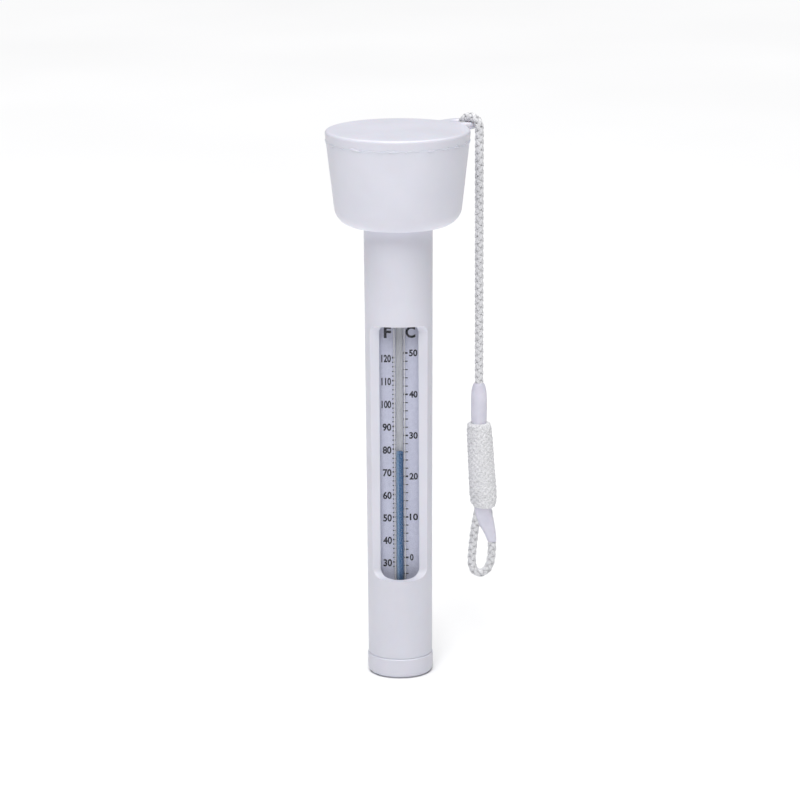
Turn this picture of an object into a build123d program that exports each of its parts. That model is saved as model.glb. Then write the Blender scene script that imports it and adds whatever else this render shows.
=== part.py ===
from build123d import *
import os
from math import cos, pi, radians, sin, sqrt

# Floating pool thermometer: a hollow float on a windowed stem, with a spirit thermometer
# inside and a braided lanyard tied through the eyelet of the lid. Millimetres, +Z up,
# origin at the centre of the end cap's flat bottom, window towards -Y.

# ---- driving dimensions ----------------------------------------------------------------
overall_height = 185.4

# float
lid_radius = 24.0
float_depth = 31.4
float_bottom_radius = 20.4
float_bottom_fillet = 6.2
float_wall = 1.8
lid_height = 3.6
lid_plate = 2.2
lid_edge_fillet = 1.0
skirt_depth = 4.0
skirt_wall = 1.5
socket_depth = 11.0
socket_wall = 2.0

# eyelet lug of the lid
lug_azimuth = 40.0
lug_radius = 6.1
lug_thickness = 2.3
lug_root_depth = 3.4
lug_edge_fillet = 0.9
eyelet_gap = 0.55
eyelet_fillet = 1.3

# stem
stem_top_radius = 11.4
stem_bottom_radius = 10.75
stem_bore = 8.8
shoulder_width = 0.9
stop_width = 1.0
window_land = 5.95
window_bottom = 34.15
window_length = 87.35
window_foot_radius = 3.5
window_head_radius = 2.5
window_end_bow = 1.0
cutter_margin = 3.0

# end cap and ballast
cap_height = 6.8
cap_floor = 2.5
cap_ring_depth = 5.0
cap_ring_wall = 1.6
cap_edge_fillet = 1.8
cap_step = 0.25
cap_rim_chamfer = 0.4
seam_chamfer = 0.25

# inner thermometer
cushion_thickness = 4.0
top_cushion_thickness = 3.0
tube_headroom = 10.5
clear_tube_wall = 0.9
card_thickness = 0.5
capillary_radius = 2.1
capillary_x = 0.1
bulb_radius = 2.3
bulb_wall = 0.5
bulb_gap = 0.4
neck_rise = 0.3
notch_margin = 0.5
bore_radius = 0.8
capillary_headroom = 2.5
bore_headroom = 2.0

# scale
zero_above_window_bottom = 6.25
degree_pitch = 1.4124
reading = 26.5
coldest = -5.0
hottest = 50.0
celsius_step = 2
celsius_low = -4
celsius_high = 50
fahrenheit_step = 2
fahrenheit_low = 28
fahrenheit_high = 120
fahrenheit_freezing = 32
fahrenheit_per_celsius = 1.8
celsius_tick_start = 1.4
celsius_tick_length = 1.5
fahrenheit_tick_start = -2.3
fahrenheit_tick_length = 1.0
fine_tick = 0.34
bold_tick = 0.56
bold_every = 10
ink_thickness = 0.05
tip_height = 0.8

# lanyard
cord_diameter = 2.9
lanyard_azimuth = -38.0
cord_in_eyelet = 0.45
bend_share = 0.45
trim_width = 4.0
knot_radius = 3.0
knot_drop = 0.3
knot_side_gap = 0.64
exit_run = 6.6
over_lug_gap = 0.25
beside_lug_gap = 0.5
upper_sleeve_wall = 1.0
upper_sleeve_length = 13.4
hank_top = 83.6
hank_length = 30.4
hank_lean = 1.35
hang_drift = 0.1
hank_turns = 10
strand_gap = 0.1
loop_sleeve_wall = 0.5
loop_sleeve_start = 2.4
loop_sleeve_length = 6.6

# clearances
glue_gap = 0.05
slide_gap = 0.1
spirit_gap = 0.05
card_gap = 0.2
sleeve_gap = 0.2
skirt_gap = 0.15

# ---- places worked out from them -------------------------------------------------------
float_z = overall_height - float_depth
seam_z = overall_height - lid_height
stem_rise = float_z - cap_height
spigot_radius = stem_top_radius - shoulder_width
spigot_top = float_z + socket_depth - slide_gap
window_top = window_bottom + window_length
stop_z = window_top + tube_headroom + top_cushion_thickness
cap_ring_top = cap_height + cap_ring_depth
tube_bottom = cap_ring_top + cushion_thickness
tube_top = stop_z - top_cushion_thickness
clear_tube_radius = stem_bore - slide_gap
tube_inside = clear_tube_radius - clear_tube_wall
capillary_forward = tube_inside - bulb_radius - bulb_gap
capillary_y = -capillary_forward
card_forward = capillary_forward - capillary_radius
card_width = 2 * (sqrt(tube_inside**2 - card_forward**2) - card_gap)
bulb_z = tube_bottom + bulb_radius
neck_z = bulb_z + bulb_radius + neck_rise
capillary_top = tube_top - capillary_headroom
scale_zero = window_bottom + zero_above_window_bottom
level_z = scale_zero + reading * degree_pitch
lug_bottom = overall_height - lug_thickness
cord_radius = cord_diameter / 2
eyelet_radius = cord_in_eyelet + cord_radius + eyelet_gap
knot_z = lug_bottom - knot_drop - knot_radius


def float_radius(z):
    """Outside radius of the tapered float at a height."""
    share = (z - float_z) / float_depth
    return float_bottom_radius + share * (lid_radius - float_bottom_radius)


def stem_radius(z):
    """Outside radius of the moulded stem, which has draft, at a height."""
    share = (z - cap_height) / stem_rise
    return stem_bottom_radius + share * (stem_top_radius - stem_bottom_radius)


# The eyelet stands far enough out for the knot to clear the float's side.
lug_reach = float_radius(knot_z) + knot_radius + knot_side_gap
lug_x = lug_reach * cos(radians(lug_azimuth))
lug_y = lug_reach * sin(radians(lug_azimuth))


def beside_eyelet(distance, z):
    """A point that far from the eyelet's axis, on the side where the lanyard hangs."""
    angle = radians(lanyard_azimuth)
    return (lug_x + distance * cos(angle), lug_y + distance * sin(angle), z)


# ---- float -----------------------------------------------------------------------------
with BuildPart() as float_cup:
    with BuildSketch(Plane.XZ):
        with BuildLine():
            Polyline(
                (0, float_z),
                (float_bottom_radius, float_z),
                (float_radius(seam_z), seam_z),
                (0, seam_z),
                close=True,
            )
        make_face()
    revolve(axis=Axis.Z)
    fillet(float_cup.edges().group_by(Axis.Z)[0], radius=float_bottom_fillet)
    offset(amount=-float_wall, openings=float_cup.faces().sort_by(Axis.Z)[-1])
    with BuildSketch(Plane.XY.offset(float_z)):
        Circle(spigot_radius + glue_gap + socket_wall)
    extrude(amount=socket_depth + socket_wall)
    with BuildSketch(Plane.XY.offset(float_z)):
        Circle(spigot_radius + glue_gap)
    extrude(amount=socket_depth, mode=Mode.SUBTRACT)
float_cup.part.label = "float_cup"

# The lug reaches back over the skirt, so that it is solid with the lid's rim.
lug_root = lid_radius - lug_root_depth
lug_plane = Plane(origin=(0, 0, lug_bottom), x_dir=(lug_x, lug_y, 0), z_dir=(0, 0, 1))
with BuildPart() as lug:
    with BuildSketch(lug_plane):
        with Locations((lug_reach, 0)):
            Circle(lug_radius)
        with Locations(((lug_root + lug_reach) / 2, 0)):
            Rectangle(lug_reach - lug_root, 2 * lug_radius)
    extrude(amount=lug_thickness)
    fillet(lug.edges().group_by(Axis.Z)[-1], radius=lug_edge_fillet)
    fillet(lug.edges().group_by(Axis.Z)[0], radius=lug_edge_fillet)
    with BuildSketch(lug_plane):
        with Locations((lug_reach, 0)):
            Circle(eyelet_radius)
    extrude(amount=lug_thickness, mode=Mode.SUBTRACT)
    eyelet_edges = lug.faces().sort_by(Axis.Z)[-1].inner_wires()[0].edges()
    fillet(eyelet_edges, radius=eyelet_fillet)

skirt_bottom = seam_z - skirt_depth
skirt_radius = float_radius(skirt_bottom) - float_wall - skirt_gap
with BuildPart() as float_lid:
    with BuildSketch(Plane.XZ):
        with BuildLine():
            Polyline(
                (0, overall_height),
                (lid_radius, overall_height),
                (float_radius(seam_z), seam_z),
                (skirt_radius, seam_z),
                (skirt_radius, skirt_bottom),
                (skirt_radius - skirt_wall, skirt_bottom),
                (skirt_radius - skirt_wall, overall_height - lid_plate),
                (0, overall_height - lid_plate),
                close=True,
            )
        make_face()
    revolve(axis=Axis.Z)
    fillet(float_lid.edges().group_by(Axis.Z)[-1], radius=lid_edge_fillet)
    add(lug.part)
float_lid.part.label = "float_lid"

# ---- stem ------------------------------------------------------------------------------
# The window's cutter is wider than the stem, so it leaves two flat lands beside the bore.
with BuildPart() as window_cutter:
    with BuildSketch(Plane.XZ.offset(window_land)):
        reach = stem_top_radius + cutter_margin
        with BuildLine():
            low = (-reach, window_bottom + window_end_bow)
            high = (reach, window_top - window_end_bow)
            ThreePointArc(low, (0, window_bottom), (reach, low[1]))
            Line((reach, low[1]), high)
            ThreePointArc(high, (0, window_top), (-reach, high[1]))
            Line((-reach, high[1]), low)
        make_face()
    extrude(amount=stem_top_radius)
    ends = window_cutter.faces().sort_by(Axis.Y)[-1].edges().filter_by(GeomType.CIRCLE)
    fillet(ends.sort_by(Axis.Z)[0], radius=window_foot_radius)
    ends = window_cutter.faces().sort_by(Axis.Y)[-1].edges().filter_by(GeomType.CIRCLE)
    fillet(ends.sort_by(Axis.Z)[-1], radius=window_head_radius)

with BuildPart() as stem_tube:
    with BuildSketch(Plane.XZ):
        with BuildLine():
            Polyline(
                (stem_bore, cap_height),
                (stem_radius(cap_height) - seam_chamfer, cap_height),
                (stem_radius(cap_height + seam_chamfer), cap_height + seam_chamfer),
                (stem_top_radius, float_z),
                (spigot_radius, float_z),
                (spigot_radius, spigot_top),
                (stem_bore - stop_width, spigot_top),
                (stem_bore - stop_width, stop_z),
                (stem_bore, stop_z),
                close=True,
            )
        make_face()
    revolve(axis=Axis.Z)
    add(window_cutter.part, mode=Mode.SUBTRACT)
stem_tube.part.label = "stem_tube"

# The cap stands a little proud of the stem, with a chamfered rim.
ring_radius = stem_bore - glue_gap
cap_rim_radius = stem_radius(cap_height) + cap_step
with BuildPart() as end_cap:
    with BuildSketch(Plane.XZ):
        with BuildLine():
            Polyline(
                (0, 0),
                (stem_radius(0) + cap_step, 0),
                (cap_rim_radius, cap_height - cap_rim_chamfer),
                (cap_rim_radius - cap_rim_chamfer, cap_height),
                (ring_radius, cap_height),
                (ring_radius, cap_ring_top),
                (ring_radius - cap_ring_wall, cap_ring_top),
                (ring_radius - cap_ring_wall, cap_floor),
                (0, cap_floor),
                close=True,
            )
        make_face()
    revolve(axis=Axis.Z)
    fillet(end_cap.edges().group_by(Axis.Z)[0], radius=cap_edge_fillet)
end_cap.part.label = "end_cap"

with BuildPart() as ballast_weight:
    with BuildSketch(Plane.XY.offset(cap_floor)):
        Circle(ring_radius - cap_ring_wall - slide_gap)
    extrude(amount=cap_ring_top - cap_floor)
ballast_weight.part.label = "ballast_weight"

# ---- inner thermometer -----------------------------------------------------------------
with BuildPart() as bottom_cushion:
    with BuildSketch(Plane.XY.offset(cap_ring_top)):
        Circle(stem_bore - slide_gap)
    extrude(amount=cushion_thickness)
bottom_cushion.part.label = "bottom_cushion"

with BuildPart() as top_cushion:
    with BuildSketch(Plane.XY.offset(tube_top)):
        Circle(stem_bore - slide_gap)
    extrude(amount=top_cushion_thickness)
top_cushion.part.label = "top_cushion"

with BuildPart() as clear_tube:
    with BuildSketch(Plane.XY.offset(tube_bottom)):
        Circle(clear_tube_radius)
        Circle(tube_inside, mode=Mode.SUBTRACT)
    extrude(amount=tube_top - tube_bottom)
clear_tube.part.label = "clear_tube"

notch_size = 2 * (bulb_radius + notch_margin)
with BuildPart() as scale_card:
    with BuildSketch(Plane.XZ.offset(card_forward - card_thickness)):
        with Locations((0, (tube_bottom + tube_top) / 2)):
            Rectangle(card_width, tube_top - tube_bottom)
        with Locations((capillary_x, tube_bottom + notch_size / 2)):
            Rectangle(notch_size, notch_size, mode=Mode.SUBTRACT)
    extrude(amount=card_thickness)
scale_card.part.label = "scale_card"


def to_celsius(degree):
    """A Fahrenheit reading in degrees Celsius."""
    return (degree - fahrenheit_freezing) / fahrenheit_per_celsius


def ticks(start, length, degrees, bold):
    """Sketches printed ticks: heights in degrees Celsius, and those that are bold."""
    for degree in degrees:
        middle = (start + length / 2, scale_zero + degree * degree_pitch)
        with Locations(middle):
            Rectangle(length, bold_tick if degree in bold else fine_tick)


celsius = range(celsius_low, celsius_high + 1, celsius_step)
with BuildPart() as celsius_marks:
    with BuildSketch(Plane.XZ.offset(card_forward)):
        tens = [c for c in celsius if c % bold_every == 0]
        ticks(celsius_tick_start, celsius_tick_length, celsius, tens)
    extrude(amount=ink_thickness)
celsius_marks.part.label = "celsius_marks"

fahrenheit = range(fahrenheit_low, fahrenheit_high + 1, fahrenheit_step)
with BuildPart() as fahrenheit_marks:
    with BuildSketch(Plane.XZ.offset(card_forward)):
        in_celsius = [to_celsius(f) for f in fahrenheit]
        tens = [to_celsius(f) for f in fahrenheit if f % bold_every == 0]
        ticks(fahrenheit_tick_start, fahrenheit_tick_length, in_celsius, tens)
    extrude(amount=ink_thickness)
fahrenheit_marks.part.label = "fahrenheit_marks"

bore_top = capillary_top - bore_headroom
with BuildPart() as capillary_glass:
    with BuildSketch(Plane.XY.offset(bulb_z)):
        with Locations((capillary_x, capillary_y)):
            Circle(capillary_radius)
    extrude(amount=capillary_top - bulb_z)
    fillet(capillary_glass.edges().group_by(Axis.Z)[-1], radius=capillary_radius / 2)
    with Locations((capillary_x, capillary_y, bulb_z)):
        Sphere(bulb_radius)
        Sphere(bulb_radius - bulb_wall, mode=Mode.SUBTRACT)
    with BuildSketch(Plane.XY.offset(bulb_z)):
        with Locations((capillary_x, capillary_y)):
            Circle(bore_radius)
    extrude(amount=bore_top - bulb_z, mode=Mode.SUBTRACT)
capillary_glass.part.label = "capillary_glass"

spirit_radius = bore_radius - spirit_gap
with BuildPart() as spirit_reservoir:
    with Locations((capillary_x, capillary_y, bulb_z)):
        Sphere(bulb_radius - bulb_wall - spirit_gap)
    with BuildSketch(Plane.XY.offset(bulb_z)):
        with Locations((capillary_x, capillary_y)):
            Circle(spirit_radius)
    extrude(amount=neck_z - bulb_z)
spirit_reservoir.part.label = "spirit_reservoir"

with BuildPart() as spirit_column:
    with BuildSketch(Plane.XY.offset(neck_z)):
        with Locations((capillary_x, capillary_y)):
            Circle(spirit_radius)
    extrude(amount=level_z - tip_height - neck_z)
spirit_column.part.label = "spirit_column"

with BuildPart() as spirit_tip:
    with BuildSketch(Plane.XY.offset(level_z - tip_height)):
        with Locations((capillary_x, capillary_y)):
            Circle(spirit_radius)
    extrude(amount=tip_height)
    fillet(spirit_tip.edges().group_by(Axis.Z)[-1], radius=spirit_radius / 2)
spirit_tip.part.label = "spirit_tip"

# ---- lanyard ---------------------------------------------------------------------------
# The stopper knot is drawn up under the lug, and the cord starts inside it, runs up
# through the eyelet, over the lug and straight down to the hank.
over_lug = overall_height + over_lug_gap + cord_radius
beside_lug = lug_radius + beside_lug_gap + cord_radius
cord_start = beside_eyelet(cord_in_eyelet, over_lug - exit_run)
hang_x = beside_eyelet(beside_lug, 0)[0]
hang_y = beside_eyelet(beside_lug, 0)[1]
hank_bottom = hank_top - hank_length
hank_radius = 1.5 * cord_diameter
strand_spacing = cord_diameter + strand_gap
run_points = [
    cord_start,
    beside_eyelet(cord_in_eyelet, over_lug),
    (hang_x, hang_y, over_lug),
    (hang_x - hang_drift, hang_y, hank_top),
]
# The end loop leaves the hank's bottom beside its middle and comes back beside it.
left_strand = hang_x + hank_lean - strand_spacing / 2
loop_points = [
    (left_strand, hang_y, hank_bottom),
    (left_strand - 1.3, hang_y, hank_bottom - 6.7),
    (left_strand - 2.1, hang_y, hank_bottom - 13.7),
    (left_strand - 2.5, hang_y, hank_bottom - 20.6),
    (left_strand + 0.9, hang_y, hank_bottom - 22.7),
    (left_strand + 4.4, hang_y, hank_bottom - 20.4),
    (left_strand + 5.2, hang_y, hank_bottom - 13.0),
    (left_strand + 4.2, hang_y, hank_bottom - 6.0),
    (left_strand + strand_spacing, hang_y, hank_bottom),
]


def bends(points):
    """Arc radius for each corner: as large as its two runs allow."""
    radii = []
    for before, corner, after in zip(points, points[1:], points[2:]):
        arriving = Vector(*corner) - Vector(*before)
        leaving = Vector(*after) - Vector(*corner)
        turn = radians(arriving.get_angle(leaving))
        shorter = min(arriving.length, leaving.length)
        radii.append(bend_share * shorter * cos(turn / 2) / sin(turn / 2))
    return radii


run_bends = bends(run_points)
with BuildPart() as cord_run:
    with BuildLine() as run_path:
        FilletPolyline(*run_points, radius=run_bends)
    with BuildSketch(Plane.XY.offset(cord_start[2])):
        with Locations(cord_start[:2]):
            Circle(cord_radius)
    sweep()
cord_run.part.label = "cord_run"

loop_bends = bends(loop_points)
with BuildPart() as cord_loop:
    with BuildLine() as loop_path:
        FilletPolyline(*loop_points, radius=loop_bends)
    with BuildSketch(loop_path.line ^ 0):
        Circle(cord_radius)
    sweep()
    # Its two ends are trimmed level with the hank's flat bottom.
    with BuildSketch(Plane.XY.offset(hank_bottom)):
        with Locations((hang_x + hank_lean, hang_y)):
            Circle(trim_width * hank_radius)
    extrude(amount=cord_diameter, mode=Mode.SUBTRACT)
cord_loop.part.label = "cord_loop"

with BuildPart() as cord_hank:
    with BuildSketch(Plane.XY.offset(hank_top)):
        with Locations((hang_x - hang_drift, hang_y)):
            Circle(hank_radius)
    with BuildSketch(Plane.XY.offset(hank_bottom)):
        with Locations((hang_x + hank_lean, hang_y)):
            Circle(hank_radius)
    loft()
cord_hank.part.label = "cord_hank"

with BuildPart() as stopper_knot:
    with Locations((cord_start[0], cord_start[1], knot_z)):
        Sphere(knot_radius)
    with BuildSketch(Plane.XY.offset(cord_start[2])):
        with Locations(cord_start[:2]):
            Circle(cord_radius + glue_gap)
    extrude(amount=2 * knot_radius, mode=Mode.SUBTRACT)
stopper_knot.part.label = "stopper_knot"

with BuildPart() as upper_sleeve:
    with BuildSketch(Plane.XY.offset(hank_top)):
        with Locations((hang_x - hang_drift, hang_y)):
            Circle(cord_radius + sleeve_gap + upper_sleeve_wall)
            Circle(cord_radius + sleeve_gap, mode=Mode.SUBTRACT)
    extrude(amount=upper_sleeve_length)
upper_sleeve.part.label = "upper_sleeve"

# The lower sleeve is on the strand that comes back up, where the two strands have parted.
strand_top = Vector(*loop_points[-1])
strand_way = (Vector(*loop_points[-2]) - strand_top).normalized()
sleeve_top = strand_top + strand_way * loop_sleeve_start
with BuildPart() as loop_sleeve:
    with BuildSketch(Plane(origin=sleeve_top, z_dir=strand_way)):
        Circle(cord_radius + sleeve_gap + loop_sleeve_wall)
        Circle(cord_radius + sleeve_gap, mode=Mode.SUBTRACT)
    extrude(amount=loop_sleeve_length)
loop_sleeve.part.label = "loop_sleeve"

# ---- the cord's own figures ------------------------------------------------------------
section = pi * cord_radius**2
run_length = run_path.wires()[0].length
loop_length = loop_path.wires()[0].length
turn_length = sqrt((2 * pi * cord_diameter) ** 2 + (hank_length / hank_turns) ** 2)
through_hank = hank_length + hank_turns * turn_length
print("run bends", [round(r, 2) for r in run_bends])
print("loop bends", [round(r, 2) for r in loop_bends])
print("run volume / section x length", round(cord_run.part.volume / section / run_length, 4))
print("loop volume / section x length", round(cord_loop.part.volume / section / loop_length, 4))
print("cord length", round(run_length + loop_length + through_hank, 1))
print("level", round(level_z, 3), "neck", round(neck_z, 3))
print("range", (coldest - reading) * degree_pitch, (hottest - reading) * degree_pitch)
print("eyelet", round(lug_x, 3), round(lug_y, 3), "hang", round(hang_x, 3), round(hang_y, 3))

# ---- export ----------------------------------------------------------------------------
os.makedirs("parts", exist_ok=True)
for piece in (
    float_cup,
    float_lid,
    stem_tube,
    end_cap,
    ballast_weight,
    bottom_cushion,
    top_cushion,
    clear_tube,
    scale_card,
    celsius_marks,
    fahrenheit_marks,
    capillary_glass,
    spirit_reservoir,
    spirit_column,
    spirit_tip,
    stopper_knot,
    cord_run,
    upper_sleeve,
    cord_hank,
    loop_sleeve,
    cord_loop,
):
    export_step(piece.part, f"parts/{piece.part.label}.step")
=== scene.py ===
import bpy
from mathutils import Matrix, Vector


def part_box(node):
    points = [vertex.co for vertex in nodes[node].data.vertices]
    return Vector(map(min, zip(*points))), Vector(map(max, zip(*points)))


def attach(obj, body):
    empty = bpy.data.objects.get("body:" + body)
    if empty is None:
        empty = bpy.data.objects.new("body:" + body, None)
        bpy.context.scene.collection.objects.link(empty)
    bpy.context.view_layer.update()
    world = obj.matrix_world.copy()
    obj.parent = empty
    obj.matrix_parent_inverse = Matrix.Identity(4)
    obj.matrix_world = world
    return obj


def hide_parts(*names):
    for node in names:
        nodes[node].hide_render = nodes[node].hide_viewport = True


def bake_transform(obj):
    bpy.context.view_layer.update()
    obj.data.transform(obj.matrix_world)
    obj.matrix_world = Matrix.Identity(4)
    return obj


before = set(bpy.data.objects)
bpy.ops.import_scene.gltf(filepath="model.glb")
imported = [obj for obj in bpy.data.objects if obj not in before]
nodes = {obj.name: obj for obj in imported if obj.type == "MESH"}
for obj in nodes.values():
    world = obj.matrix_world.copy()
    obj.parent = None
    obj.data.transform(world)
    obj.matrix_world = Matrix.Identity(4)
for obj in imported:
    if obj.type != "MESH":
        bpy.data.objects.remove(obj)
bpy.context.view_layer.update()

from math import cos, pi, radians, sin, sqrt, tau

import bpy
from mathutils import Euler, Matrix, Vector, noise

# Floating pool thermometer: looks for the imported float, stem, thermometer and lanyard.
# Metres, +Z up, window towards -Y.

MM = 0.001

# ---- camera ----------------------------------------------------------------------------
CAMERA_PLACE = (0.000298, -1.08359, 0.36358)
CAMERA_TILT = 76.04
CAMERA_ROLL = -0.30
CAMERA_LENS = 150.65
SENSOR_WIDTH = 36.0

# ---- lanyard ---------------------------------------------------------------------------
HANG_Y = 12.398
HANK_TOP = 83.6
HANK_BOTTOM = 53.2
HANK_TOP_X = 26.925
HANK_BOTTOM_X = 28.375
TURNS = 10.5
POINTS_PER_TURN = 12
TURN_RADIUS = 2.85
ENTRY_RADIUS = 1.6
ENTRY_POINTS = 8
FOOT_SPREAD = 0.45
FIRST_TURN_RISE = 1.4
LAST_TURN_DROP = 1.6
TURN_UNEVEN = 0.16
TURN_DRIFT = 0.4
UNEVEN_PACE = 0.7
CORD_SMOOTHNESS = 10

# Route from the stopper knot up through the eyelet, over the lug and down, in millimetres.
run_route = [
    (21.037, 17.077, 180.5),
    (21.037, 17.077, 187.1),
    (27.025, HANG_Y, 187.1),
    (27.025, HANG_Y, 179.5),
    (26.925, HANG_Y, 83.6),
]
# Down through the middle of the hank.
core_route = [
    (27.25, HANG_Y, 76.0),
    (27.6, HANG_Y, 68.0),
    (27.75, HANG_Y, 60.5),
]
# Round the end loop and back to the foot of the hank.
loop_route = [
    (26.875, HANG_Y, 53.2),
    (25.575, HANG_Y, 46.5),
    (24.775, HANG_Y, 39.5),
    (24.3, HANG_Y, 32.0),
    (27.3, HANG_Y, 29.6),
    (30.8, HANG_Y, 32.2),
    (31.6, HANG_Y, 40.2),
    (30.8, HANG_Y, 47.2),
    (29.875, HANG_Y, 53.2),
]


def hank_axis_x(z):
    """Where the hank's leaning axis is at a height, in millimetres."""
    share = (HANK_TOP - z) / (HANK_TOP - HANK_BOTTOM)
    return HANK_TOP_X + share * (HANK_BOTTOM_X - HANK_TOP_X)


def hank_turns():
    """The turns wound upwards round the standing cord, a little uneven, in millimetres."""
    first, last = HANK_BOTTOM + FIRST_TURN_RISE, HANK_TOP - LAST_TURN_DROP
    count = round(TURNS * POINTS_PER_TURN)
    points = []
    for i in range(1, count + 1):
        share = i / count
        angle = tau * i / POINTS_PER_TURN
        z = first + share * (last - first)
        uneven = noise.noise(Vector((cos(angle), sin(angle), UNEVEN_PACE * i / POINTS_PER_TURN)))
        entry = min(1.0, i / ENTRY_POINTS)
        entry = entry * entry * (3 - 2 * entry)
        wound = TURN_RADIUS + FOOT_SPREAD * (1 - share) ** 2 + TURN_UNEVEN * uneven
        radius = ENTRY_RADIUS + entry * (wound - ENTRY_RADIUS)
        x = hank_axis_x(z) + radius * cos(angle)
        points.append((x, HANG_Y - radius * sin(angle), z + TURN_DRIFT * uneven * entry))
    return points


def deselect():
    bpy.ops.object.select_all(action="DESELECT")


def add_camera():
    deselect()
    bpy.ops.object.camera_add(location=CAMERA_PLACE)
    camera = bpy.context.object
    camera.name = "camera"
    tilt = Euler((radians(CAMERA_TILT), 0, 0)).to_matrix()
    roll = Matrix.Rotation(radians(CAMERA_ROLL), 3, "Z")
    camera.rotation_euler = (tilt @ roll).to_euler()
    camera.data.lens = CAMERA_LENS
    camera.data.sensor_width = SENSOR_WIDTH
    bpy.context.scene.camera = camera


def smooth_line(name, route, steps):
    """Points in metres along one smooth curve that has the route as its control points."""
    curve = bpy.data.curves.new(name, "CURVE")
    curve.dimensions = "3D"
    spline = curve.splines.new("NURBS")
    spline.points.add(len(route) - 1)
    for point, place in zip(spline.points, route):
        point.co = (place[0] * MM, place[1] * MM, place[2] * MM, 1)
    spline.order_u = 3
    spline.use_endpoint_u = True
    spline.resolution_u = steps
    holder = bpy.data.objects.new(name, curve)
    bpy.context.collection.objects.link(holder)
    bpy.context.view_layer.update()
    line = bpy.data.meshes.new_from_object(holder)
    points = [v.co.copy() for v in line.vertices]
    bpy.data.objects.remove(holder)
    bpy.data.meshes.remove(line)
    return points


def even_points(points, step):
    """The same line with its points a fixed step apart."""
    result = [points[0]]
    carry = 0.0
    for a, b in zip(points, points[1:]):
        gap = (b - a).length
        while gap > 0 and carry + step <= gap:
            carry += step
            result.append(a.lerp(b, carry / gap))
        carry -= gap
    return result


def frames_along(points):
    """A point, a tangent and two cross directions at each step, without twist."""
    frames = []
    side = None
    for i, point in enumerate(points):
        ahead = points[min(i + 1, len(points) - 1)]
        behind = points[max(i - 1, 0)]
        way = (ahead - behind).normalized()
        if side is None:
            side = way.orthogonal().normalized()
        side = (side - way * side.dot(way)).normalized()
        frames.append((point, way, side, way.cross(side)))
    return frames


class Skin:
    """Collects the rings of several tubes and makes them one mesh with a UV map."""

    def __init__(self):
        self.verts, self.faces, self.uvs = [], [], []

    def tube(self, rings, lengths):
        base, sides = len(self.verts), len(rings[0])
        for ring in rings:
            self.verts.extend(ring)
        for i in range(len(rings) - 1):
            for j in range(sides):
                k = (j + 1) % sides
                a, b = base + i * sides, base + (i + 1) * sides
                self.faces.append((a + j, a + k, b + k, b + j))
                u0, u1 = j / sides, (j + 1) / sides
                v0, v1 = lengths[i] / MM, lengths[i + 1] / MM
                self.uvs.extend([(u0, v0), (u1, v0), (u1, v1), (u0, v1)])
        for start, turn in ((base, -1), (base + (len(rings) - 1) * sides, 1)):
            cap = [start + j for j in range(sides)][::turn]
            self.faces.append(tuple(cap))
            self.uvs.extend([(0.5, 0.0)] * sides)

    def piece(self, name):
        mesh = bpy.data.meshes.new(name)
        mesh.from_pydata(self.verts, [], self.faces)
        layer = mesh.uv_layers.new(name="UVMap")
        for loop, uv in zip(layer.data, self.uvs):
            loop.uv = uv
        mesh.polygons.foreach_set("use_smooth", [True] * len(mesh.polygons))
        piece = bpy.data.objects.new(name, mesh)
        bpy.context.collection.objects.link(piece)
        return piece


BRAID_STEP = 0.30 * MM
BRAID_LAY = 7.6 * MM
STRANDS_EACH_WAY = 3
STRAND_RADIUS_OUT = 1.10 * MM
STRAND_OVER = 0.14 * MM
STRAND_HALF_WIDTH = 0.80 * MM
STRAND_HALF_THICKNESS = 0.27 * MM
STRAND_SIDES = 6
CORE_RADIUS = 1.0 * MM
CORE_SIDES = 8
SLEEVE_SIDES = 28


def braid(name, points, scale=1.0):
    """A round braid along a line: strands each way, over one and under one, round a core."""
    skin = Skin()
    frames = frames_along(points)
    travelled = [i * BRAID_STEP for i in range(len(points))]
    crossings = 2 * STRANDS_EACH_WAY
    for way in (1, -1):
        for strand in range(STRANDS_EACH_WAY):
            rings = []
            for (point, tangent, side, up), s in zip(frames, travelled):
                angle = way * tau * s / BRAID_LAY + tau * strand / STRANDS_EACH_WAY
                wave = way * cos(pi * (crossings * s / BRAID_LAY + 2 * way * strand))
                radius = scale * (STRAND_RADIUS_OUT + STRAND_OVER * wave)
                out = side * cos(angle) + up * sin(angle)
                round_way = up * cos(angle) - side * sin(angle)
                slope = way * tau * radius / BRAID_LAY
                heading = (tangent + round_way * slope).normalized()
                across = heading.cross(out)
                centre = point + out * radius
                ring = []
                for j in range(STRAND_SIDES):
                    turn = tau * j / STRAND_SIDES
                    flat = across * (scale * STRAND_HALF_WIDTH * cos(turn))
                    thick = out * (scale * STRAND_HALF_THICKNESS * sin(turn))
                    ring.append(centre + flat + thick)
                rings.append(ring)
            skin.tube(rings, travelled)
    core = []
    for point, tangent, side, up in frames:
        ring = []
        for j in range(CORE_SIDES):
            turn = tau * j / CORE_SIDES
            ring.append(point + (side * cos(turn) + up * sin(turn)) * CORE_RADIUS * scale)
        core.append(ring)
    skin.tube(core, travelled)
    return skin.piece(name)


def swept_tube(name, points, radii, sides=SLEEVE_SIDES):
    """A closed tube along a line, with a radius at each point."""
    skin = Skin()
    travelled = [0.0]
    for a, b in zip(points, points[1:]):
        travelled.append(travelled[-1] + (b - a).length)
    rings = []
    for (point, tangent, side, up), radius in zip(frames_along(points), radii):
        rings.append([
            point + (side * cos(tau * j / sides) + up * sin(tau * j / sides)) * radius
            for j in range(sides)
        ])
    skin.tube(rings, travelled)
    return skin.piece(name)


add_camera()
cord_route = run_route + core_route + loop_route + hank_turns()
cord_line = smooth_line("cord_line", cord_route, CORD_SMOOTHNESS)
cord_points = even_points(cord_line, BRAID_STEP)
cord = braid("cord_braid", cord_points)
cord_length = BRAID_STEP * (len(cord_points) - 1)
print("cord line", round(cord_length, 4), "m,", len(cord_points), "points")

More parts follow.
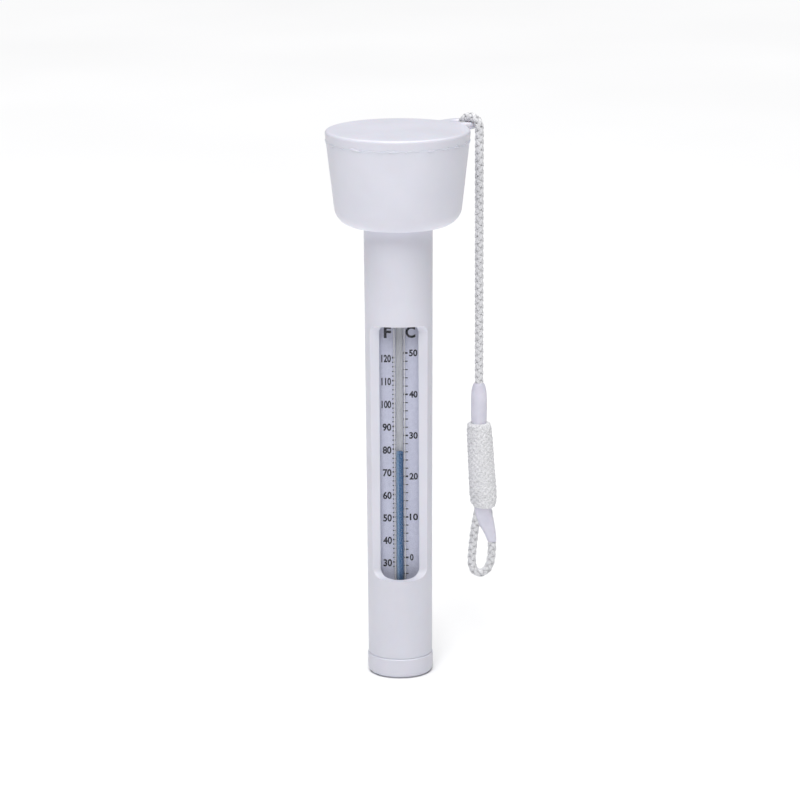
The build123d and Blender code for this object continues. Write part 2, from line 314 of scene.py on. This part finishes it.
# ---- materials -------------------------------------------------------------------------
glass_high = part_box("capillary_glass")[1]
tip_low, tip_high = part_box("spirit_tip")
bore_x, bore_y = (tip_low.x + tip_high.x) / 2, (tip_low.y + tip_high.y) / 2
CAPILLARY_RADIUS = 2.1 * MM
# The glass shows the spirit about one and a half times as wide as it is.
SPIRIT_SHOWN = 1.2 * MM
THREAD_RINGS = 60
SPIRIT_SIDES = 32
CROWN_RIM = 0.3 * MM
CROWN_RIM_STEPS = 3
SMOOTH_ANGLE = 40
BORE_FOOT = 22 * MM
BORE_TOP = glass_high.z - 2 * MM
# The painted bore shade strip: its width as a share of the spirit's, and how far it is flattened.
BORE_WIDTH = 0.95
BORE_FLATNESS = 0.25
CAPILLARY_SIDES = 40
BULB_RINGS = 8
BULB_TIP = 0.05 * MM
BULB_TO_STEM = 0.45
# The sealed top: its rim's height, and its radii as shares of the stem's.
SEAL_RIM = 0.2 * MM
SEAL_RIM_SHARE = 0.75
SEAL_END_SHARE = 0.5


class Finish:
    """A material's node tree, built a node at a time on the object's own coordinates."""

    def __init__(self, name):
        self.material = bpy.data.materials.new(name)
        self.material.use_nodes = True
        self.tree = self.material.node_tree
        self.shader = self.tree.nodes["Principled BSDF"]
        place = self.tree.nodes.new("ShaderNodeTexCoord")
        self.place = place.outputs["Object"]
        self.uv = place.outputs["UV"]

    def link(self, a, b):
        self.tree.links.new(a, b)

    def set(self, **values):
        for name, value in values.items():
            self.shader.inputs[name.replace("_", " ")].default_value = value

    def mapped(self, scale, source=None):
        node = self.tree.nodes.new("ShaderNodeMapping")
        node.inputs["Scale"].default_value = scale
        self.link(source or self.place, node.inputs["Vector"])
        return node.outputs["Vector"]

    def noise(self, scale, detail=4.0, vector=None):
        node = self.tree.nodes.new("ShaderNodeTexNoise")
        node.inputs["Scale"].default_value = scale
        node.inputs["Detail"].default_value = detail
        self.link(vector or self.place, node.inputs["Vector"])
        return node.outputs["Fac"]

    def cells(self, scale):
        node = self.tree.nodes.new("ShaderNodeTexVoronoi")
        node.inputs["Scale"].default_value = scale
        self.link(self.place, node.inputs["Vector"])
        return node.outputs["Distance"]

    def ramp(self, factor, low, high, start=0.35, stop=0.65):
        node = self.tree.nodes.new("ShaderNodeValToRGB")
        node.color_ramp.elements[0].position = start
        node.color_ramp.elements[1].position = stop
        node.color_ramp.elements[0].color = (*low, 1)
        node.color_ramp.elements[1].color = (*high, 1)
        self.link(factor, node.inputs["Fac"])
        return node.outputs["Color"]

    def across(self, centre, half, source=None):
        """How far a place's first coordinate is from a line, as a share of a half width."""
        split = self.tree.nodes.new("ShaderNodeSeparateXYZ")
        self.link(source or self.place, split.inputs["Vector"])
        value = split.outputs["X"]
        for operation, number in (("SUBTRACT", centre), ("ABSOLUTE", 0), ("DIVIDE", half)):
            node = self.tree.nodes.new("ShaderNodeMath")
            node.operation = operation
            node.inputs[1].default_value = number
            self.link(value, node.inputs[0])
            value = node.outputs["Value"]
        return value

    def bands(self, factor, stops):
        """Colour or level by position: pairs of a position and a colour."""
        node = self.tree.nodes.new("ShaderNodeValToRGB")
        elements = node.color_ramp.elements
        while len(elements) < len(stops):
            elements.new(0.5)
        for element, (position, colour) in zip(elements, stops):
            element.position = position
            element.color = (*colour, 1)
        self.link(factor, node.inputs["Fac"])
        return node.outputs["Color"]

    def span(self, factor, low, high):
        node = self.tree.nodes.new("ShaderNodeMapRange")
        node.inputs["To Min"].default_value = low
        node.inputs["To Max"].default_value = high
        self.link(factor, node.inputs["Value"])
        return node.outputs["Result"]

    def colour(self, source):
        self.link(source, self.shader.inputs["Base Color"])

    def roughness(self, source):
        self.link(source, self.shader.inputs["Roughness"])

    def bump(self, source, depth, strength=1.0):
        node = self.tree.nodes.new("ShaderNodeBump")
        node.inputs["Distance"].default_value = depth
        node.inputs["Strength"].default_value = strength
        self.link(source, node.inputs["Height"])
        normal = self.shader.inputs["Normal"]
        if normal.is_linked:
            self.link(normal.links[0].from_socket, node.inputs["Normal"])
        self.link(node.outputs["Normal"], normal)


def moulded_white():
    """White moulded plastic: faint flow marks, fine orange peel and handling scuffs."""
    f = Finish("moulded_white")
    f.set(Specular_IOR_Level=0.45, Subsurface_Weight=0.06, Subsurface_Scale=0.004)
    f.colour(f.ramp(f.noise(38, 5), (0.655, 0.655, 0.728), (0.70, 0.70, 0.778)))
    f.roughness(f.span(f.noise(160, 3), 0.34, 0.50))
    f.bump(f.noise(420, 3), 0.00004, 0.5)
    f.bump(f.noise(2600, 2), 0.000012, 0.6)
    return f.material


def printed_card():
    """Matt white card with a fine paper grain."""
    f = Finish("printed_card")
    f.set(Specular_IOR_Level=0.25)
    f.colour(f.ramp(f.noise(900, 6), (0.57, 0.585, 0.725), (0.62, 0.635, 0.775)))
    f.roughness(f.span(f.noise(1400, 2), 0.62, 0.78))
    f.bump(f.noise(3800, 3), 0.00001, 0.5)
    return f.material


def printing_ink():
    """Dark ink, a little uneven, as it takes on card."""
    f = Finish("printing_ink")
    f.set(Specular_IOR_Level=0.3)
    f.colour(f.ramp(f.noise(2200, 4), (0.010, 0.010, 0.018), (0.035, 0.035, 0.05)))
    f.roughness(f.span(f.noise(1500, 2), 0.45, 0.65))
    f.bump(f.noise(5200, 2), 0.000006, 0.5)
    return f.material


def clear_plastic():
    """The clear tube: almost unseen, with faint moulding streaks along it."""
    f = Finish("clear_plastic")
    f.set(Base_Color=(0.86, 0.88, 0.93, 1), IOR=1.49, Specular_IOR_Level=0.5)
    streaks = f.noise(60, 4, f.mapped((26, 26, 1)))
    f.link(f.span(streaks, 0.0, 0.03), f.shader.inputs["Alpha"])
    f.roughness(f.span(streaks, 0.04, 0.12))
    return f.material


def capillary_clear():
    """Drawn glass of the capillary, with painted light: painted shade in the middle, a painted
    highlight near each side and painted shade at the edge.
    """
    f = Finish("capillary_clear")
    f.set(IOR=1.52, Specular_IOR_Level=0.3)
    place = f.across(bore_x, CAPILLARY_RADIUS)
    # Painted light across the glass: a grey middle as painted shade, a painted highlight band near
    # each side, and painted rim shade at the edge.
    grey, painted_highlight, painted_rim_shade = (0.42, 0.42, 0.46), (0.95, 0.95, 0.98), (0.30, 0.30, 0.36)
    f.colour(f.bands(place, [
        (0.0, grey), (0.68, grey), (0.76, painted_highlight), (0.86, painted_highlight), (0.93, painted_rim_shade), (1.0, painted_rim_shade),
    ]))
    # The painted highlights and the painted rim shade are also less clear than the middle.
    f.link(f.bands(place, [
        (0.0, (0.03,) * 3), (0.68, (0.03,) * 3), (0.77, (0.55,) * 3),
        (0.86, (0.55,) * 3), (0.92, (0.10,) * 3), (1.0, (0.12,) * 3),
    ]), f.shader.inputs["Alpha"])
    f.roughness(f.span(f.noise(140, 3, f.mapped((30, 30, 1))), 0.03, 0.10))
    return f.material


def empty_bore():
    """Painted shade for the bore above the spirit, seen enlarged in the glass: greyer than the card.
    """
    f = Finish("empty_bore")
    f.set(Specular_IOR_Level=0.2)
    f.colour(f.ramp(f.noise(420, 4, f.mapped((3, 1, 0.6))), (0.40, 0.41, 0.45), (0.47, 0.48, 0.52)))
    f.roughness(f.span(f.noise(700, 2), 0.3, 0.5))
    return f.material


def dyed_spirit():
    """Blue spirit, paler towards its left side as a painted reflection, and a little uneven along
    its length.
    """
    f = Finish("dyed_spirit")
    f.set(Specular_IOR_Level=0.3, IOR=1.36)
    # Distance across the thread from its right side; the pale bands over its left third are a
    # painted reflection.
    place = f.across(bore_x + SPIRIT_SHOWN, 2 * SPIRIT_SHOWN)
    mottled = f.noise(240, 3, f.mapped((1, 1, 0.3)))
    mix = f.tree.nodes.new("ShaderNodeMix")
    mix.data_type = "RGBA"
    f.link(f.span(mottled, 0.0, 0.25), mix.inputs["Factor"])
    f.link(f.bands(place, [
        (0.0, (0.030, 0.085, 0.205)), (0.58, (0.040, 0.110, 0.250)),
        (0.68, (0.15, 0.26, 0.42)), (0.95, (0.21, 0.32, 0.48)),
    ]), mix.inputs["A"])
    mix.inputs["B"].default_value = (0.06, 0.16, 0.32, 1)
    f.colour(mix.outputs["Result"])
    f.roughness(f.span(f.noise(700, 2), 0.18, 0.32))
    return f.material


def foam_rubber():
    """Closed-cell foam, grey, with small pores."""
    f = Finish("foam_rubber")
    pores = f.cells(1500)
    # Darker in the pores' pits, from the same texture as the bump: painted shade.
    f.colour(f.ramp(pores, (0.035, 0.035, 0.038), (0.085, 0.085, 0.09), 0.1, 0.6))
    f.roughness(f.span(f.noise(900, 2), 0.75, 0.92))
    f.bump(pores, 0.0001, 0.7)
    return f.material


def cast_ballast():
    """Cast metal weight with a dull, mottled skin."""
    f = Finish("cast_ballast")
    f.set(Metallic=1.0)
    f.colour(f.ramp(f.noise(260, 6), (0.16, 0.16, 0.17), (0.34, 0.34, 0.35)))
    f.roughness(f.span(f.noise(500, 4), 0.38, 0.62))
    f.bump(f.noise(800, 5), 0.00006, 0.6)
    return f.material


def braided_yarn(name, edge_shade):
    """White yarn whose fibres run along each strand, with painted shade darkening each strand
    towards its edges, where the grooves between strands fall.
    """
    f = Finish(name)
    f.set(Specular_IOR_Level=0.3, Sheen_Weight=0.2, Sheen_Roughness=0.5)
    fibres = f.noise(9, 4, f.mapped((5, 0.25, 1), f.uv))
    # Painted groove shade: the colour darkens from each strand's outer top towards its edges.
    top = f.across(0.25, 0.25, f.uv)
    edge = f.bands(top, [(0.2, (1, 1, 1)), (0.9, (edge_shade,) * 3)])
    mix = f.tree.nodes.new("ShaderNodeMix")
    mix.data_type = "RGBA"
    mix.blend_type = "MULTIPLY"
    mix.inputs["Factor"].default_value = 1.0
    f.link(f.ramp(fibres, (0.60, 0.60, 0.62), (0.86, 0.86, 0.88), 0.35, 0.6), mix.inputs["A"])
    f.link(edge, mix.inputs["B"])
    f.colour(mix.outputs["Result"])
    f.roughness(f.span(f.noise(800, 2), 0.66, 0.84))
    f.bump(fibres, 0.00006, 0.8)
    return f.material


def sleeve_film():
    """Smooth shrunk sleeve, faintly drawn over what it covers."""
    f = Finish("sleeve_film")
    f.set(Specular_IOR_Level=0.45, Subsurface_Weight=0.05, Subsurface_Scale=0.002)
    f.colour(f.ramp(f.noise(180, 4), (0.65, 0.64, 0.735), (0.72, 0.71, 0.80)))
    f.roughness(f.span(f.noise(320, 3), 0.38, 0.55))
    f.bump(f.noise(520, 4), 0.00008, 0.5)
    return f.material


def wear(piece, material):
    piece.data.materials.clear()
    piece.data.materials.append(material)


white = moulded_white()
card = printed_card()
ink = printing_ink()
clear = clear_plastic()
glass = capillary_clear()
spirit = dyed_spirit()
painted_bore_grey = empty_bore()
foam = foam_rubber()
metal = cast_ballast()
# The cord's yarn gets painted groove shade; the knitted fill gets none.
yarn = braided_yarn("braided_yarn", 0.80)
knit = braided_yarn("knitted_yarn", 1.0)
film = sleeve_film()

for name, material in {
    "float_cup": white,
    "float_lid": white,
    "stem_tube": white,
    "end_cap": white,
    "ballast_weight": metal,
    "bottom_cushion": foam,
    "top_cushion": foam,
    "clear_tube": clear,
    "scale_card": card,
    "celsius_marks": ink,
    "fahrenheit_marks": ink,
    "spirit_reservoir": spirit,
}.items():
    wear(nodes[name], material)

# ---- lanyard pieces --------------------------------------------------------------------
wear(cord, yarn)


def upper_sleeve():
    """A sleeve that starts inside the hank and tapers to the cord at its top."""
    low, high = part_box("upper_sleeve")
    # Share of the height, and radius in millimetres.
    profile = [
        (-0.12, 2.45), (0.00, 2.60), (0.15, 2.68), (0.35, 2.74), (0.55, 2.74), (0.70, 2.66),
        (0.80, 2.52), (0.88, 2.32), (0.94, 2.05), (0.98, 1.75), (1.00, 1.50),
    ]
    centre = (low + high) / 2
    rise = high.z - low.z
    line = [Vector((centre.x, centre.y, low.z + share * rise)) for share, _ in profile]
    return swept_tube("sleeve_upper", line, [radius * MM for _, radius in profile])


BOXINESS = 0.65
SLEEVE_SMOOTHING = 2


def boxy(value):
    """A sine or cosine drawn towards a rounded rectangle."""
    return (abs(value) ** BOXINESS) * (1 if value > 0 else -1)


def lower_sleeve():
    """A flattened sleeve that holds both strands under the hank and narrows to one."""
    # Height, left side, right side and half depth, in millimetres.
    outline = [
        (54.6, 25.5, 30.9, 2.3), (53.2, 25.3, 31.2, 2.4), (51.4, 25.5, 31.5, 2.35),
        (49.4, 26.1, 31.9, 2.2), (47.4, 27.0, 32.3, 2.0), (45.6, 28.0, 32.6, 1.85),
        (44.0, 28.9, 32.8, 1.75), (42.4, 29.6, 32.9, 1.68), (41.0, 29.95, 32.9, 1.62),
    ]
    skin = Skin()
    rings = []
    for z, left, right, depth in outline:
        middle, half = (left + right) / 2, (right - left) / 2
        ring = []
        for j in range(SLEEVE_SIDES):
            turn = tau * j / SLEEVE_SIDES
            x = middle + half * boxy(cos(turn))
            y = HANG_Y + depth * boxy(sin(turn))
            ring.append(Vector((x, y, z)) * MM)
        rings.append(ring)
    skin.tube(rings, [(outline[0][0] - z) * MM for z, *_ in outline])
    piece = skin.piece("sleeve_lower")
    smoothing = piece.modifiers.new("round", "SUBSURF")
    smoothing.levels = smoothing.render_levels = SLEEVE_SMOOTHING
    deselect()
    bpy.context.view_layer.objects.active = piece
    piece.select_set(True)
    bpy.ops.object.modifier_apply(modifier="round")
    return piece


KNOT_FLAT = 0.58
KNOT_TALL = 1.15
KNOT_STEPS = 48
KNOT_SMOOTHNESS = 8
KNOT_SCALE = 0.84


def stopper_knot():
    """A tight three-lobed knot in the same braided cord."""
    low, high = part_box("stopper_knot")
    centre = (low + high) / 2
    route = []
    for i in range(KNOT_STEPS + 1):
        t = tau * i / KNOT_STEPS
        x = KNOT_FLAT * (sin(t) + 2 * sin(2 * t))
        y = KNOT_FLAT * (cos(t) - 2 * cos(2 * t))
        route.append((centre.x / MM + x, centre.y / MM + y, centre.z / MM - KNOT_TALL * sin(3 * t)))
    line = even_points(smooth_line("knot_line", route, KNOT_SMOOTHNESS), BRAID_STEP)
    return braid("knot", line, scale=KNOT_SCALE)


FILL_SIDES = 96
FILL_STITCHES = 13
FILL_ROW = 0.95 * MM
FILL_BUMP = 0.25 * MM
FILL_RING = 0.16 * MM
# In millimetres, like the lanyard's routes.
FILL_INSET = 0.5
FILL_RADIUS = 4.12
FILL_SPREAD = 0.42
FILL_UNEVEN = 0.14
FILL_LEAN = 0.4
# How fast each end rounds off, and how far it pulls in.
FILL_FOOT_ROUNDING = 5
FILL_TOP_ROUNDING = 8
FILL_FOOT_PULL = 0.32
FILL_TOP_PULL = 0.16
# How often the lumps and the fuzz vary, round the hank and up it.
FILL_LUMPS_ROUND = 1.3
FILL_LUMPS_UP = 0.25
FILL_FUZZ_ROUND = 9
FILL_FUZZ_UP = 2.2
FILL_FUZZ = 0.8


def hank_fill():
    """The hank's close knitted body, which shows between the turns."""
    low, high = HANK_BOTTOM + FILL_INSET, HANK_TOP - FILL_INSET
    count = round((high - low) * MM / FILL_RING)
    skin = Skin()
    rings, travelled = [], []
    for i in range(count + 1):
        share = i / count
        z = low + share * (high - low)
        rounding = min(1.0, FILL_FOOT_ROUNDING * share, FILL_TOP_ROUNDING * (1 - share))
        pull = FILL_FOOT_PULL if share < 0.5 else FILL_TOP_PULL
        rounding = 1 - pull * (1 - sqrt(max(0.0, 1 - (1 - rounding) ** 2)))
        centre = Vector((hank_axis_x(z) + FILL_LEAN * (1 - share) ** 2, HANG_Y, z)) * MM
        ring = []
        for j in range(FILL_SIDES):
            angle = tau * j / FILL_SIDES
            round_way = Vector((cos(angle), sin(angle), 0))
            stitch = cos(FILL_STITCHES * angle) * cos(pi * z * MM / FILL_ROW)
            uneven = noise.noise(round_way * FILL_LUMPS_ROUND + Vector((0, 0, z * FILL_LUMPS_UP)))
            fuzz = noise.noise(round_way * FILL_FUZZ_ROUND + Vector((0, 0, z * FILL_FUZZ_UP)))
            radius = (FILL_RADIUS + FILL_SPREAD * (1 - share) + FILL_UNEVEN * uneven) * rounding * MM
            radius += FILL_BUMP * (stitch + FILL_FUZZ * fuzz)
            ring.append(centre + round_way * radius)
        rings.append(ring)
        travelled.append(share * (high - low) * MM)
    skin.tube(rings, travelled)
    return skin.piece("hank_fill")


fill = hank_fill()
sleeve_above = upper_sleeve()
sleeve_below = lower_sleeve()
knot = stopper_knot()
wear(fill, knit)
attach(fill, "lanyard")
for piece, material, node, slot in (
    (sleeve_above, film, "upper_sleeve", "sleeve"),
    (sleeve_below, film, "loop_sleeve", "sleeve"),
    (knot, yarn, "stopper_knot", "braid"),
):
    wear(piece, material)
    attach(piece, "lanyard")
    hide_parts(node)

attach(cord, "lanyard")
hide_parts("cord_run", "cord_loop", "cord_hank")

# ---- spirit thread ---------------------------------------------------------------------


def upright(name, low, high, radius):
    """A closed upright cylinder round the bore's axis between two heights."""
    deselect()
    bpy.ops.mesh.primitive_cylinder_add(
        vertices=SPIRIT_SIDES,
        radius=radius,
        depth=high - low,
        location=(bore_x, bore_y, (low + high) / 2),
    )
    piece = bpy.context.object
    piece.name = piece.data.name = name
    bpy.ops.object.transform_apply(location=True, rotation=True, scale=True)
    return piece


def spirit_thread():
    """The spirit in the bore, an upright cylinder cut into rings along its length; the real spirit
    lengthens and shortens as its tip moves.
    """
    low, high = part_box("spirit_column")
    thread = upright("spirit_thread", low.z, high.z, SPIRIT_SHOWN)
    bpy.ops.object.mode_set(mode="EDIT")
    bpy.ops.mesh.select_mode(type="EDGE")
    bpy.ops.mesh.select_all(action="DESELECT")
    bpy.ops.object.mode_set(mode="OBJECT")
    for edge in thread.data.edges:
        a, b = (thread.data.vertices[i].co.z for i in edge.vertices)
        edge.select = abs(a - b) > (high.z - low.z) / 2
    bpy.ops.object.mode_set(mode="EDIT")
    bpy.ops.mesh.subdivide(number_cuts=THREAD_RINGS)
    bpy.ops.object.mode_set(mode="OBJECT")
    bpy.ops.object.shade_smooth_by_angle(angle=radians(SMOOTH_ANGLE))
    wear(thread, spirit)
    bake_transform(thread)
    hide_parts("spirit_column")


def spirit_crown():
    """The top of the spirit, with its rounded rim."""
    low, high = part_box("spirit_tip")
    crown = upright("spirit_crown", low.z, high.z, SPIRIT_SHOWN)
    rim = crown.modifiers.new("rim", "BEVEL")
    rim.width = CROWN_RIM
    rim.segments = CROWN_RIM_STEPS
    rim.limit_method = "ANGLE"
    bpy.ops.object.modifier_apply(modifier="rim")
    bpy.ops.object.shade_smooth_by_angle(angle=radians(SMOOTH_ANGLE))
    wear(crown, spirit)
    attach(crown, "meniscus")
    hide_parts("spirit_tip")


def drawn_capillary():
    """The capillary's outside: a bulb below, a long stem and a rounded, sealed top."""
    low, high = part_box("capillary_glass")
    bulb = (high.x - low.x) / 2
    bulb_z = low.z + bulb
    heights = [low.z + bulb * (1 - cos(pi / 2 * i / BULB_RINGS)) for i in range(BULB_RINGS + 1)]
    radii = [max(BULB_TIP, sqrt(max(0.0, bulb**2 - (z - bulb_z) ** 2))) for z in heights]
    stem_foot, shoulder = bulb_z + BULB_TO_STEM * bulb, high.z - CAPILLARY_RADIUS / 2
    heights += [stem_foot, shoulder, high.z - SEAL_RIM, high.z]
    radii += [CAPILLARY_RADIUS * share for share in (1, 1, SEAL_RIM_SHARE, SEAL_END_SHARE)]
    line = [Vector((bore_x, bore_y, z)) for z in heights]
    piece = swept_tube("capillary_drawn", line, radii, CAPILLARY_SIDES)
    wear(piece, glass)
    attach(piece, "root")
    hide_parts("capillary_glass")


def bore_shade():
    """A grey strip behind the spirit, up to the capillary's sealed top: painted shade for the empty
    bore as the glass shows it.
    """
    backing = upright("bore_shade", BORE_FOOT, BORE_TOP, BORE_WIDTH * SPIRIT_SHOWN)
    for v in backing.data.vertices:
        v.co.y = bore_y + SPIRIT_SHOWN + BORE_FLATNESS * (v.co.y - bore_y)
    wear(backing, painted_bore_grey)
    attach(backing, "root")


spirit_thread()
spirit_crown()
bore_shade()
drawn_capillary()

# ---- printed numerals ------------------------------------------------------------------
card_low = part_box("scale_card")[0]
celsius_low, celsius_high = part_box("celsius_marks")
PRINT_GAP = 0.03 * MM
PRINT_WEIGHT = 0.034
LETTER_SMOOTHNESS = 4
TICK_HALF = 0.17 * MM
TENS_HALF = 0.28 * MM
# Degrees Celsius of the lowest and highest ticks.
COLDEST = -4
WARMEST = 50
FREEZING_FAHRENHEIT = 32
FAHRENHEIT_PER_CELSIUS = 1.8
lowest_tick = celsius_low.z + TICK_HALF
highest_tick = celsius_high.z - TENS_HALF
degree = (highest_tick - lowest_tick) / (WARMEST - COLDEST)
zero = lowest_tick - COLDEST * degree


def printed(name, text, left, right, bottom, height):
    """Lettering printed on the card between two sides, standing on a line."""
    deselect()
    bpy.ops.object.text_add()
    label = bpy.context.object
    label.data.body = text
    label.data.offset = PRINT_WEIGHT
    label.data.resolution_u = LETTER_SMOOTHNESS
    bpy.ops.object.convert(target="MESH")
    label.name = label.data.name = name
    xs = [v.co.x for v in label.data.vertices]
    ys = [v.co.y for v in label.data.vertices]
    width, tall = max(xs) - min(xs), max(ys) - min(ys)
    for v in label.data.vertices:
        x = left + (v.co.x - min(xs)) / width * (right - left)
        z = bottom + (v.co.y - min(ys)) / tall * height
        v.co = (x, card_low.y - PRINT_GAP, z)
    bpy.ops.object.mode_set(mode="EDIT")
    bpy.ops.mesh.select_all(action="SELECT")
    bpy.ops.mesh.normals_make_consistent(inside=False)
    bpy.ops.object.mode_set(mode="OBJECT")
    wear(label, ink)
    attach(label, "root")
    return label


FAHRENHEIT_VALUES = range(30, 121, 10)
FAHRENHEIT_HEIGHT = 2.6 * MM
FAHRENHEIT_DROP = 0.3 * MM
FAHRENHEIT_RIGHT = -2.65 * MM
CELSIUS_VALUES = range(0, 51, 10)
CELSIUS_HEIGHT = 2.35 * MM
CELSIUS_LEFT = 3.35 * MM
# The numbers' outer sides, by how many digits they have.
FAHRENHEIT_LEFT = {2: -5.55 * MM, 3: -5.85 * MM}
CELSIUS_RIGHT = {1: 4.6 * MM, 2: 6.15 * MM}
UNIT_BOTTOM = 116.1 * MM
UNIT_HEIGHT = 4.0 * MM
UNIT_FAHRENHEIT_SIDES = (-4.95 * MM, -2.55 * MM)
UNIT_CELSIUS_SIDES = (2.2 * MM, 5.5 * MM)
for value in FAHRENHEIT_VALUES:
    text = str(value)
    z = zero + (value - FREEZING_FAHRENHEIT) / FAHRENHEIT_PER_CELSIUS * degree - FAHRENHEIT_DROP
    bottom = z - FAHRENHEIT_HEIGHT / 2
    left = FAHRENHEIT_LEFT[len(text)]
    printed(f"fahrenheit_{value}", text, left, FAHRENHEIT_RIGHT, bottom, FAHRENHEIT_HEIGHT)
for value in CELSIUS_VALUES:
    text = str(value)
    bottom = zero + value * degree - CELSIUS_HEIGHT / 2
    right = CELSIUS_RIGHT[len(text)]
    printed(f"celsius_{value}", text, CELSIUS_LEFT, right, bottom, CELSIUS_HEIGHT)
printed("unit_fahrenheit", "F", *UNIT_FAHRENHEIT_SIDES, UNIT_BOTTOM, UNIT_HEIGHT)
printed("unit_celsius", "C", *UNIT_CELSIUS_SIDES, UNIT_BOTTOM, UNIT_HEIGHT)

# ---- weld at the lid's seam ------------------------------------------------------------
WELD_AROUND = 360
WELD_SIDES = 8
WELD_RADIUS = 0.25 * MM
WELD_SWELL = 0.9
WELD_LEAST_SWELL = 0.2
# How much the bead varies, and how often round the seam.
WELD_LUMPS = 1.7
WELD_LUMPS_PACE = 8
WELD_GRAIN = 0.8
WELD_GRAIN_PACE = 30
WELD_WANDER = 0.55 * MM
WELD_WANDER_PACE = 11
WELD_WANDER_START = Vector((3, 0, 0))


def weld_bead():
    """The thin, uneven line of plastic that the weld pressed out at the seam."""
    low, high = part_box("float_cup")
    radius = (high.x - low.x) / 2
    deselect()
    bpy.ops.mesh.primitive_torus_add(
        location=(0, 0, high.z),
        major_segments=WELD_AROUND,
        minor_segments=WELD_SIDES,
        major_radius=radius,
        minor_radius=WELD_RADIUS,
    )
    bead = bpy.context.object
    bead.name = bead.data.name = "weld_bead"
    bpy.ops.object.transform_apply(location=True, rotation=True, scale=True)
    for v in bead.data.vertices:
        flat = Vector((v.co.x, v.co.y, 0)).normalized()
        centre = flat * radius + Vector((0, 0, high.z))
        lumps = WELD_LUMPS * noise.noise(flat * WELD_LUMPS_PACE)
        swell = WELD_SWELL + lumps + WELD_GRAIN * noise.noise(flat * WELD_GRAIN_PACE)
        wander = WELD_WANDER * noise.noise(flat * WELD_WANDER_PACE + WELD_WANDER_START)
        v.co = centre + Vector((0, 0, wander)) + (v.co - centre) * max(WELD_LEAST_SWELL, swell)
    bpy.ops.object.shade_smooth()
    wear(bead, white)
    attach(bead, "root")


weld_bead()

# ---- floor and light -------------------------------------------------------------------
FLOOR_SIZE = 12
OVERHEAD_STRENGTH = 3.05
OVERHEAD_SPREAD = 62
KEY_PLACE = (-0.14, -0.95, 1.15)
KEY_TARGET = (0, 0, 0.1)
KEY_WIDTH = 0.7
KEY_POWER = 9
SKY_STRENGTH = 0.03


def floor():
    deselect()
    bpy.ops.mesh.primitive_plane_add(size=FLOOR_SIZE)
    ground = bpy.context.object
    ground.name = "floor"
    f = Finish("floor_paint")
    f.set(Specular_IOR_Level=0.1)
    f.colour(f.ramp(f.noise(3, 2), (0.93, 0.93, 0.935), (0.96, 0.96, 0.965)))
    f.roughness(f.span(f.noise(8, 2), 0.85, 0.95))
    wear(ground, f.material)


def softbox(name, place, target, width, power):
    deselect()
    bpy.ops.object.light_add(type="AREA", location=place)
    light = bpy.context.object
    light.name = name
    light.data.shape = "DISK"
    light.data.size = width
    light.data.energy = power
    light.rotation_euler = (Vector(target) - Vector(place)).to_track_quat("-Z", "Y").to_euler()


def overhead(strength, spread):
    """Even light from straight above, as from a large silk."""
    deselect()
    bpy.ops.object.light_add(type="SUN", location=(0, 0, 2))
    light = bpy.context.object
    light.name = "overhead"
    light.data.energy = strength
    light.data.angle = radians(spread)


floor()
overhead(OVERHEAD_STRENGTH, OVERHEAD_SPREAD)
softbox("key", KEY_PLACE, KEY_TARGET, KEY_WIDTH, KEY_POWER)
world = bpy.data.worlds.new("studio")
bpy.context.scene.world = world
world.use_nodes = True
sky = world.node_tree.nodes["Background"]
sky.inputs["Color"].default_value = (1, 1, 1, 1)
sky.inputs["Strength"].default_value = SKY_STRENGTH
bpy.context.scene.view_settings.view_transform = "Standard"
